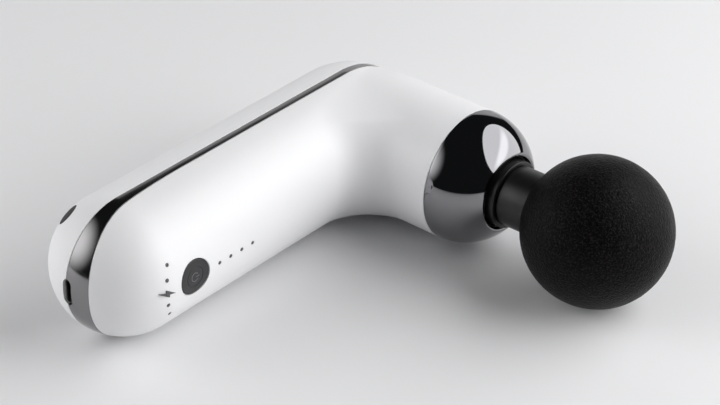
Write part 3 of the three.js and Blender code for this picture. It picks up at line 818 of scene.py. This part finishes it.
BRUSHED = (1, 0.06, 1)
materials = {
    "white_shell": material(
        "white_shell",
        (0.83, 0.83, 0.845),
        (0.87, 0.868, 0.88),
        (0.4, 0.47),
        patch_scale=25,
        grain_scale=2600,
        grain_height=0.000006,
        grain_strength=0.25,
        scuff=0.03,
        Specular_IOR_Level=0.5,
        Coat_Weight=0.1,
        Coat_Roughness=0.3,
    ),
    "trim_metal": material(
        "trim_metal",
        (0.255, 0.25, 0.255),
        (0.285, 0.28, 0.285),
        (0.1, 0.15),
        metallic=1.0,
        patch_scale=40,
        stretch=BRUSHED,
        grain_height=0.000003,
        grain_strength=0.15,
    ),
    "collar_chrome": material(
        "collar_chrome",
        (0.225, 0.225, 0.235),
        (0.25, 0.25, 0.26),
        (0.03, 0.055),
        metallic=1.0,
        patch_scale=50,
        grain_height=0.000002,
        grain_strength=0.08,
        scuff=0.02,
    ),
    "button_plastic": material(
        "button_plastic",
        (0.024, 0.024, 0.026),
        (0.031, 0.031, 0.033),
        (0.42, 0.52),
        patch_scale=150,
        grain_scale=4000,
        grain_height=0.00001,
    ),
    "light_guide": material(
        "light_guide", (0.06, 0.06, 0.063), (0.09, 0.09, 0.094), (0.25, 0.35), patch_scale=500
    ),
    "foam": foam_material(),
    "black_plastic": material(
        "black_plastic",
        (0.0035, 0.0035, 0.0037),
        (0.0055, 0.0055, 0.0058),
        (0.34, 0.44),
        patch_scale=120,
        grain_scale=3500,
        grain_height=0.000008,
    ),
    "rubber": material(
        "rubber", (0.018, 0.018, 0.019), (0.028, 0.028, 0.029), (0.6, 0.75), patch_scale=200
    ),
    "steel": material(
        "steel", (0.52, 0.53, 0.54), (0.62, 0.62, 0.63), (0.2, 0.32), 1.0, 200, stretch=BRUSHED
    ),
    "aluminium": material(
        "aluminium", (0.66, 0.67, 0.68), (0.76, 0.77, 0.78), (0.3, 0.42), 1.0, 160, stretch=BRUSHED
    ),
    "magnet": material("magnet", (0.3, 0.31, 0.32), (0.38, 0.38, 0.39), (0.28, 0.4), 1.0, 250),
    "copper": copper_material(),
    "nickel": material("nickel", (0.62, 0.6, 0.55), (0.7, 0.68, 0.63), (0.2, 0.32), 1.0, 250),
    # Nickel darkened to paint in the shade that falls inside the charging port's recess.
    "nickel_with_painted_shade": material(
        "nickel_with_painted_shade", (0.1, 0.1, 0.1), (0.14, 0.135, 0.13), (0.3, 0.42), 1.0, 250
    ),
    "cell_wrap": material(
        "cell_wrap",
        (0.02, 0.13, 0.34),
        (0.03, 0.17, 0.42),
        (0.24, 0.34),
        patch_scale=90,
        Coat_Weight=0.3,
    ),
    "board": board_material(),
    "sleeve_brass": material(
        "sleeve_brass", (0.55, 0.38, 0.12), (0.66, 0.47, 0.17), (0.22, 0.34), 1.0, 200
    ),
    "wire_red": material("wire_red", (0.4, 0.015, 0.015), (0.5, 0.03, 0.025), (0.35, 0.48)),
    "wire_black": material("wire_black", (0.012, 0.012, 0.013), (0.02, 0.02, 0.021), (0.35, 0.48)),
    "button_mark": material(
        "button_mark", (0.13, 0.13, 0.135), (0.165, 0.165, 0.17), (0.4, 0.5), patch_scale=400
    ),
}


def dress(piece, slot, body, *nodes, look=None):
    """Gives a piece its finish, its body and the CAD nodes that it stands for."""
    piece.data.materials.clear()
    piece.data.materials.append(materials[look or slot])
    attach(piece, body)
    if nodes:
        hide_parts(*nodes)
    return piece


# Every CAD node that stays gets its slot's material.
for part in frame["record"]["subparts"]:
    node_mesh = frame["nodes"][part["node"]].data
    node_mesh.materials.clear()
    node_mesh.materials.append(materials[part["material_slot"]])

# ------------------------------------------------------------------ camera, angles in radians
AZIMUTH = math.radians(40.579)
ELEVATION = math.radians(32.985)
ROLL = math.radians(0.55)
DISTANCE = 0.803728
LENS_MM = 123.2
TARGET = ORIGIN + np.array([0.033242, -0.0357, 0.0])

back = np.array(
    [
        math.sin(AZIMUTH) * math.cos(ELEVATION),
        -math.cos(AZIMUTH) * math.cos(ELEVATION),
        math.sin(ELEVATION),
    ]
)
level_right = np.array([math.cos(AZIMUTH), math.sin(AZIMUTH), 0])
level_up = np.cross(back, level_right)
right = level_right * math.cos(ROLL) + level_up * math.sin(ROLL)
up = -level_right * math.sin(ROLL) + level_up * math.cos(ROLL)

camera_data = bpy.data.cameras.new("camera")
camera_data.sensor_width = 36
camera_data.lens = LENS_MM
camera_data.clip_start = 0.01
camera = in_scene("camera", camera_data)
camera_matrix = Matrix.Identity(4)
for row in range(3):
    camera_matrix[row][0] = right[row]
    camera_matrix[row][1] = up[row]
    camera_matrix[row][2] = back[row]
    camera_matrix[row][3] = TARGET[row] + back[row] * DISTANCE
camera.matrix_world = camera_matrix
bpy.context.scene.camera = camera

# ------------------------------------------------------------------ floor and light
FLOOR_R = 1.6
floor_mesh = bpy.data.meshes.new("floor")
bm = bmesh.new()
bmesh.ops.create_circle(bm, cap_ends=True, segments=96, radius=FLOOR_R)
bm.to_mesh(floor_mesh)
bm.free()
floor = in_scene("floor", floor_mesh)
floor.location.z = float(cad_low.z) - 0.0001
floor_mesh.materials.append(
    material(
        "floor",
        (0.82, 0.82, 0.83),
        (0.84, 0.84, 0.85),
        (0.55, 0.65),
        patch_scale=3,
        grain_scale=900,
        grain_height=0.00002,
        grain_strength=0.1,
        Specular_IOR_Level=0.3,
    )
)
floor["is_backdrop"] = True


def softbox(name, turn, height, distance, width, tall, radiance, shape="RECTANGLE"):
    """An area light aimed at the gun. The turn is clockwise from straight away from the camera."""
    heading = AZIMUTH - math.radians(turn)
    flat = np.array([-math.sin(heading), math.cos(heading), 0])
    rise = math.radians(height)
    direction = flat * math.cos(rise) + np.array([0, 0, math.sin(rise)])
    data = bpy.data.lights.new(name, "AREA")
    data.shape = shape
    data.size, data.size_y = width, tall
    area = width * tall * (math.pi / 4 if shape == "ELLIPSE" else 1)
    data.energy = radiance * math.pi * area
    light = in_scene(name, data)
    light.location = TARGET + direction * distance
    light.rotation_mode = "QUATERNION"
    light.rotation_quaternion = Vector(-direction).to_track_quat("-Z", "Y")
    return light


def from_middle(tree, stretch):
    """The distance from a softbox's middle, 1 at its edge, with each side stretched."""
    place_on_light = node_of(tree, "ShaderNodeNewGeometry").outputs["Parametric"]
    centred = node_of(tree, "ShaderNodeVectorMath", operation="SUBTRACT")
    centred.inputs[1].default_value = (0.5, 0.5, 0)
    tree.links.new(place_on_light, centred.inputs[0])
    scaled = node_of(tree, "ShaderNodeVectorMath", operation="MULTIPLY")
    scaled.inputs[1].default_value = (2 * stretch[0], 2 * stretch[1], 0)
    tree.links.new(centred.outputs[0], scaled.inputs[0])
    length = node_of(tree, "ShaderNodeVectorMath", operation="LENGTH")
    tree.links.new(scaled.outputs[0], length.inputs[0])
    return length.outputs["Value"]


def graded(light, middle, edge, start=0.0, end=1.0, stretch=(1, 1)):
    """Makes a softbox's strength run smoothly from its middle to its edge."""
    light.data.use_nodes = True
    tree = light.data.node_tree
    level = spread(tree, from_middle(tree, stretch), middle, edge, start, end)
    level.node.interpolation_type = "SMOOTHSTEP"
    tree.links.new(level, tree.nodes["Emission"].inputs["Strength"])


# Turn and height in degrees, then distance, width and height in metres, then radiance.
key = softbox("key", 83, 33, 0.75, 1.29, 0.96, 2.3, "ELLIPSE")
graded(key, 1.6, 1.0, 0.4, 1.0, (1, 4))
left = softbox("left", -90, 24, 0.85, 1.3, 1.15, 2.1, "ELLIPSE")
graded(left, 1.0, 0.0, 0.15)
backdrop = softbox("backdrop", -8, 3, 1.4, 1.75, 1.62, 0.72, "ELLIPSE")
graded(backdrop, 1.0, 0.0, 0.85)
# Soft fills, which the chrome doesn't show.
for fill in (
    softbox("key_fill", 108, 30, 0.75, 0.5, 0.75, 0.8),
    softbox("low_fill", 120, 20, 1.0, 1.0, 0.6, 1.3),
    softbox("left_fill", -94, 19, 0.85, 0.68, 0.52, 1.75),
    softbox("high_fill", -125, 50, 1.3, 1.5, 1.0, 0.3),
):
    fill.visible_glossy = False

world = bpy.data.worlds.new("world")
bpy.context.scene.world = world
world.use_nodes = True
world.node_tree.nodes["Background"].inputs["Color"].default_value = (0.9, 0.95, 1.0, 1)
world.node_tree.nodes["Background"].inputs["Strength"].default_value = 0.02
bpy.context.scene.view_settings.view_transform = "Standard"

# ------------------------------------------------------------------ casing
front_sheet = casing_sheet()
rear_sheet, band_sheet = front_sheet.copy(), front_sheet.copy()
inset = SEAM + EDGE_R
trim(front_sheet, band_front_x, 1, inset)
trim(rear_sheet, band_back_x, -1, inset)
trim(band_sheet, band_front_x, -1, inset)
trim(band_sheet, band_back_x, 1, inset)

front_shell = thickened("front_moulding", front_sheet)
rear_cover = thickened("rear_moulding", rear_sheet)
trim_band = thickened("gunmetal_band", band_sheet, BAND_WALL)

cut_with(front_shell, hole_cutter("button_hole", BUTTON_Y, BUTTON_HOLE_R, 0.14, 17, count=72))
for light_y in speed_light_ys():
    cut_with(front_shell, light_hole(light_y))
for light_y, light_turn in battery_light_places():
    cut_with(front_shell, light_hole(light_y, light_turn))
bolt_cutter = bolt_pin(
    "bolt_hole", BOLT_HOLE_GROW, LIGHT_HOLE_FLOOR_X, 0, top_x=HANDLE_R + CUT_REACH
)
cut_with(front_shell, bolt_cutter)
cut_with(rear_cover, port_cutter("port_hole"))
cut_with(trim_band, port_cutter("port_hole"))
for side in (1, -1):
    cut_with(rear_cover, plug_cutter("plug_hole", side))
for casing_part in (front_shell, rear_cover, trim_band):
    polish(casing_part)
dress(front_shell, "white_shell", "gun_body", "front_shell")
dress(rear_cover, "white_shell", "gun_body", "rear_cover")
dress(trim_band, "trim_metal", "gun_body", "trim_band")

# ------------------------------------------------------------------ screw plugs
PLUG_SUNK = 0.02
edge_fall = HANDLE_R - math.sqrt(HANDLE_R * HANDLE_R - PLUG_R * PLUG_R)
shoulder = HANDLE_R - edge_fall - PLUG_SUNK
cap = []
for radius in np.linspace(0, PLUG_R - 0.25, 9):
    cap.append((radius, math.sqrt(HANDLE_R * HANDLE_R - radius * radius) - PLUG_SUNK))
cap += [
    (PLUG_R - 0.08, shoulder - 0.03),
    (PLUG_R - 0.02, shoulder - 0.1),
    (PLUG_R, shoulder - 0.2),
    (PLUG_R, HANDLE_R - PLUG_T - 0.1),
    (PLUG_R - 0.2, HANDLE_R - PLUG_T - 0.25),
    (0, HANDLE_R - PLUG_T - 0.25),
]
for side, ending in ((1, "upper"), (-1, "lower")):
    plug = lathe(
        f"rubber_plug_{ending}",
        cap,
        64,
        closed=False,
        turn=turn_to(plug_direction(side)),
        shift=(0, HANDLE_END_Y, 0),
    )
    dress(plug, "rubber", "gun_body", f"screw_plug_{ending}")

# ------------------------------------------------------------------ power button
RING_GROOVE_R = 3.35
button_profile = [
    (0.0, 0.3),
    (0.5, 0.3),
    (1.0, 0.3),
    (1.6, 0.3),
    (2.2, 0.3),
    (2.8, 0.3),
    (RING_GROOVE_R - 0.16, 0.3),
    (RING_GROOVE_R - 0.1, 0.4),
    (RING_GROOVE_R, 0.44),
    (RING_GROOVE_R + 0.1, 0.4),
    (RING_GROOVE_R + 0.16, 0.28),
    (4.2, 0.24),
    (5.0, 0.2),
    (5.8, 0.16),
    (BUTTON_R - 0.42, 0.12),
    (BUTTON_R - 0.3, 0.14),
    (BUTTON_R - 0.18, 0.2),
    (BUTTON_R - 0.07, 0.32),
    (BUTTON_R, 0.5),
]
button_loops = [circle_on_handle(BUTTON_Y, r, depth, 72) for r, depth in button_profile[1:]]
button_loops += [
    flat_circle(BUTTON_Y, BUTTON_R, 19.6, 72),
    flat_circle(BUTTON_Y, BUTTON_FLANGE_R - 0.1, 19.5, 72),
    flat_circle(BUTTON_Y, BUTTON_FLANGE_R, 19.4, 72),
    flat_circle(BUTTON_Y, BUTTON_FLANGE_R, 18.8, 72),
    flat_circle(BUTTON_Y, BUTTON_FLANGE_R - 0.1, 18.7, 72),
]
button = loft("button_cap", button_loops)
dress(button, "button_plastic", "power_button", "power_button")


def ribbon(name, centre_line, half_width, depth, height):
    """A thin raised mark on the button along a line of [y, z] pairs from its middle."""
    line = np.array(centre_line)
    step = np.gradient(line, axis=0)
    step /= np.linalg.norm(step, axis=1, keepdims=True)
    side = np.stack([-step[:, 1], step[:, 0]], axis=1) * half_width
    loops = []
    for k in range(len(line)):
        one_edge, other_edge = line[k] + side[k], line[k] - side[k]
        loops.append(
            [
                on_handle(BUTTON_Y + y, z, d)
                for (y, z), d in (
                    (one_edge, depth),
                    (one_edge, depth - height),
                    (other_edge, depth - height),
                    (other_edge, depth),
                )
            ]
        )
    return loft(name, loops)


arc = np.radians(np.linspace(35, 325, 40))
power_arc = [(1.45 * math.cos(a), 1.45 * math.sin(a)) for a in arc]
power_bar = [(y, 0.0) for y in np.linspace(0.35, 1.85, 6)]
mark = joined(
    "power_sign",
    [
        ribbon("power_arc", power_arc, 0.14, 0.31, 0.04),
        ribbon("power_bar", power_bar, 0.14, 0.31, 0.04),
    ],
)
dress(mark, "button_plastic", "power_button", look="button_mark")


# ------------------------------------------------------------------ light guides
def light_pin(y, angle, count=20):
    loops = [
        flat_circle(y, LIGHT_R, LIGHT_BAR_TOP_X, count),
        circle_on_handle(y, LIGHT_R, 0.14, count),
        circle_on_handle(y, LIGHT_R - 0.06, 0.07, count),
        circle_on_handle(y, LIGHT_R * 0.5, 0.04, count),
    ]
    return loft("pin", [turned_about_handle(loop, angle) for loop in loops])


speed_low = speed_light_ys()[-1] - 1.6
speed_high = SPEED_LIGHT_TOP_Y + 1.6
speed_bar = box_mesh("bar", (18.6, speed_low, -1.5), (LIGHT_BAR_TOP_X, speed_high, 1.5))
speed_lights = joined("speed_lights", [light_pin(y, 0) for y in speed_light_ys()] + [speed_bar])
dress(speed_lights, "light_guide", "gun_body", "speed_light_guide")

reach = 2.4 * BATTERY_LIGHT_STEP
low_y, high_y = BATTERY_LIGHT_Y - 1.2, BATTERY_OUTER_Y + 0.8
inner_r, outer_r = 18.4, LIGHT_BAR_TOP_X
corners = [(inner_r, low_y), (outer_r, low_y), (outer_r, high_y), (inner_r, high_y)]
section = [(radius, y, 0) for radius, y in softened(corners, 0.3, 3)]
arc_loops = []
for angle in np.linspace(-reach, reach, 24):
    arc_loops.append(turned_about_handle(section, angle))
battery_bar = loft("bar", arc_loops)
battery_pins = [light_pin(y, turn) for y, turn in battery_light_places()]
battery_bolt = bolt_pin("bolt", 1.0, LIGHT_BAR_TOP_X, 0.05)
battery_lights = joined("battery_lights", battery_pins + [battery_bolt, battery_bar])
dress(battery_lights, "light_guide", "gun_body", "battery_light_guide")

# ------------------------------------------------------------------ charging port
tube_r = PORT_HEIGHT / 2
port_back = PORT_FACE_Y + PORT_DEPTH
tube_wall = [
    (tube_r, port_back),
    (tube_r, PORT_FACE_Y + 0.12),
    (tube_r - 0.04, PORT_FACE_Y + 0.03),
    (tube_r - 0.12, PORT_FACE_Y),
    (tube_r - 0.26, PORT_FACE_Y),
    (tube_r - 0.34, PORT_FACE_Y + 0.05),
    (tube_r - 0.38, PORT_FACE_Y + 0.14),
    (tube_r - 0.38, port_back),
    (tube_r, port_back),
]
tube_loops = [stadium(PORT_X, PORT_REACH, r, y, 14) for r, y in tube_wall]
port_tube = loft("charging_port_tube", tube_loops, caps=False)
# The port's shell takes this darkened nickel, which is painted shade for the recess that it sits in.
dress(welded(port_tube), "nickel", "gun_body", "usb_c_shell", look="nickel_with_painted_shade")

base_r = tube_r - 0.45
insert_base = loft(
    "base",
    [
        stadium(PORT_X, PORT_REACH, base_r - 0.1, port_back - 1.65),
        stadium(PORT_X, PORT_REACH, base_r, port_back - 1.55),
        stadium(PORT_X, PORT_REACH, base_r, port_back - 0.02),
    ],
)
tongue = box_mesh(
    "tongue",
    (PORT_X - 0.35, PORT_FACE_Y + 1, -3.2),
    (PORT_X + 0.35, port_back - 1.64, 3.2),
    0.12,
)
contact_z = [-2.75 + 0.5 * i for i in range(12)]
port_insert = joined("charging_port_insert", [insert_base, tongue])
dress(port_insert, "black_plastic", "gun_body", "usb_c_insert")
contacts = joined(
    "charging_port_contacts",
    [
        box_mesh(
            "contact",
            (PORT_X + face * 0.36 - 0.015, PORT_FACE_Y + 1.4, z - 0.13),
            (PORT_X + face * 0.36 + 0.015, port_back - 2.0, z + 0.13),
            0.01,
        )
        for z in contact_z
        for face in (-1, 1)
    ],
)
dress(contacts, "sleeve_brass", "gun_body")

# ------------------------------------------------------------------ nose
collar_back = BARREL_END_X + SEAM
dome = [(BARREL_R, collar_back + EDGE_R)]
for angle in np.radians(np.linspace(2, COLLAR_LIP_ANGLE, 40)):
    dome.append((BARREL_R * math.cos(angle), BARREL_END_X + COLLAR_REACH * math.sin(angle)))
lip_r, lip_x = dome[-1]
lip_turn = [
    (lip_r - 0.22, lip_x + 0.15),
    (lip_r - 0.4, lip_x + 0.21),
    (lip_r - 0.56, lip_x + 0.22),
    (lip_r - 0.8, lip_x + 0.17),
    (lip_r - 1.0, lip_x + 0.12),
    (lip_r - 1.12, lip_x + 0.03),
    (COLLAR_MOUTH_R + 0.02, lip_x - 0.15),
    (COLLAR_MOUTH_R, lip_x - 0.4),
    (COLLAR_MOUTH_R, MOUTH_BACK_X),
]
hollow = []
for angle in np.radians(np.linspace(COLLAR_LIP_ANGLE - 3, 4, 16)):
    shown_r = (BARREL_R - WALL) * math.cos(angle)
    hollow.append((shown_r, BARREL_END_X + (COLLAR_REACH - WALL) * math.sin(angle)))
sleeve_r = BARREL_R - WALL - 0.35
collar_profile = [
    (sleeve_r, SLEEVE_START_X),
    (sleeve_r, collar_back),
    (BARREL_R - EDGE_R, collar_back),
    (BARREL_R - 0.035, collar_back + 0.035),
]
collar_profile += dome + lip_turn + hollow
collar_profile += [(sleeve_r - SLEEVE_T, BARREL_END_X), (sleeve_r - SLEEVE_T, SLEEVE_START_X)]
collar = lathe("nose_dome", collar_profile, 144)
dress(collar, "collar_chrome", "gun_body", "nose_collar")

seal_in, seal_out = PISTON_R + 0.3, COLLAR_MOUTH_R - 0.2
seal_outline = [
    (seal_in, MOUTH_BACK_X),
    (seal_out, MOUTH_BACK_X),
    (seal_out, 65.2),
    (seal_out - 0.2, 65.6),
    (seal_in, 65.3),
]
seal_profile = softened(seal_outline, 0.15)
seal = lathe("neck_ring", seal_profile, 112)
dress(seal, "rubber", "gun_body", "neck_seal")

# ------------------------------------------------------------------ piston with its socket
piston_outline = [
    (0, PISTON_BACK_X),
    (PISTON_R, PISTON_BACK_X),
    (PISTON_R, SOCKET_FACE_X),
    (SOCKET_R, SOCKET_FACE_X),
    (SOCKET_R, GROOVE_FRONT_X),
    (GROOVE_R, GROOVE_FRONT_X),
    (GROOVE_R, GROOVE_BACK_X),
    (SOCKET_R, GROOVE_BACK_X),
    (SOCKET_R, SOCKET_FLOOR_X),
    (PISTON_HOLLOW_R, SOCKET_FLOOR_X),
    (PISTON_HOLLOW_R, PISTON_HOLLOW_X),
    (0, PISTON_HOLLOW_X),
]
piston_profile = softened(piston_outline, 0.35, closed=False)
piston_skin = lathe("piston_body", piston_profile, closed=False)
ears = []
for low, high in EAR_SIDES:
    rim = [(EAR_FRONT_X, -EAR_R), (EAR_FRONT_X, EAR_R)]
    for angle in np.radians(np.linspace(90, 270, 25)):
        rim.append((PIN_X + EAR_R * math.cos(angle), EAR_R * math.sin(angle)))
    ring = []
    for x, z in rim:
        angle = math.atan2(z, x - PIN_X)
        ring.append((PIN_X + PIN_HOLE_R * math.cos(angle), PIN_HOLE_R * math.sin(angle)))
    outside_low = [(x, low, z) for x, z in rim]
    outside_high = [(x, high, z) for x, z in rim]
    inside_high = [(x, high, z) for x, z in ring]
    inside_low = [(x, low, z) for x, z in ring]
    ear = loft("ear", [outside_low, outside_high, inside_high, inside_low, outside_low], caps=False)
    ears.append(welded(ear))
piston = joined("piston_with_socket", [piston_skin, *ears])
dress(piston, "black_plastic", "drive_piston", "piston")

# ------------------------------------------------------------------ massage head
stem_outline = [
    (0, SOCKET_FLOOR_X + 0.3),
    (SHANK_R - 0.7, SOCKET_FLOOR_X + 0.3),
    (SHANK_R, SOCKET_FLOOR_X + 1.1),
    (SHANK_R, SOCKET_FACE_X + 0.3),
    (STEM_R, SOCKET_FACE_X + 0.3),
    (STEM_R, 77.0),
    (STEM_R, STEM_END_X),
    (0, STEM_END_X),
]
stem_profile = softened(stem_outline, 0.4, closed=False)
stem = lathe("head_stem_moulding", stem_profile, closed=False)
dress(stem, "black_plastic", "massage_head", "head_stem")

BORE_R = STEM_R + 0.12
BORE_END_X = 90.4
mouth_angle = math.pi - math.asin((BORE_R + 0.35) / BALL_R)
ball_profile = [(0, BORE_END_X), (BORE_R, BORE_END_X), (BORE_R, 84.0)]
mouth_x = BALL_X + BALL_R * math.cos(mouth_angle)
ball_profile += [(BORE_R, mouth_x + 0.45), (BORE_R + 0.1, mouth_x + 0.18)]
ball_steps = 190
for k in range(ball_steps + 1):
    angle = mouth_angle * (1 - k / ball_steps)
    ball_profile.append((BALL_R * math.sin(angle), BALL_X + BALL_R * math.cos(angle)))
ball_profile[-1] = (0, BALL_X + BALL_R)
ball = lathe("foam_ball", ball_profile, 300, closed=False)
centre = Vector(place([BALL_X, 0, 0]))
for vertex in ball.data.vertices:
    offset = vertex.co - centre
    if abs(offset.length * 1000 - BALL_R) < 0.01:
        fine = noise.noise(offset * 900) * 0.5 + noise.noise(offset * 420) * 0.5
        sunk = PORE_DEPTH + PORE_VARIATION * fine
        vertex.co = centre + offset * (1 - sunk / BALL_R)
smooth(ball, 60)
dress(ball, "foam", "massage_head", "massage_ball")

# ------------------------------------------------------------------ size: the bounds of what is shown
low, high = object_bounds()
